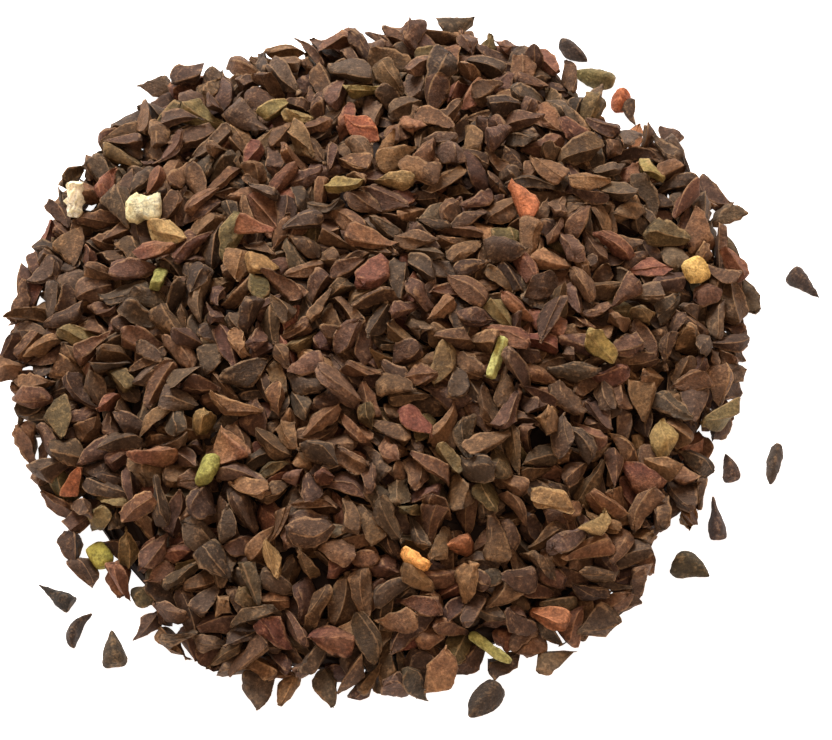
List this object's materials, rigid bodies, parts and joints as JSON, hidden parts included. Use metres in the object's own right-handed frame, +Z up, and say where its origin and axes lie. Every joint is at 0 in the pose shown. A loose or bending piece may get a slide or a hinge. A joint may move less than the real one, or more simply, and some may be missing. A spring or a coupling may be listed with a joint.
{
  "type": "heap of syrian rue seeds",
  "caption": "Low round heap of small dark brown wedge-shaped seeds, with bits of stalk and husk in it and a few seeds lying loose beside it.",
  "frame": {"origin": "centre of the heap's flat base", "axes": "+Z up, out of the surface that the heap lies on; +Y away from the picture's viewer; +X to the picture's right"},
  "size_m": [0.0607, 0.0594, 0.01],
  "materials": {
    "dark_seed": "matte, finely wrinkled grey-brown coat",
    "brown_seed": "matte brown coat with paler ridges",
    "reddish_seed": "satin red-brown coat",
    "tan_seed": "matte tan coat",
    "olive_seed": "matte olive-brown coat",
    "green_stalk": "dry yellow-green stalk",
    "pale_husk": "papery cream husk"
  },
  "bodies": {
    "root": {"seed_heap": "dark_seed", "loose_seed_01": "dark_seed", "loose_seed_02": "dark_seed", "loose_seed_03": "brown_seed", "loose_seed_04": "dark_seed", "loose_seed_05": "olive_seed", "loose_seed_06": "brown_seed", "loose_seed_07": "brown_seed", "loose_seed_08": "dark_seed", "loose_seed_09": "dark_seed", "loose_seed_10": "dark_seed", "loose_seed_11": "olive_seed", "loose_seed_12": "reddish_seed"}
  },
  "joints": []
}
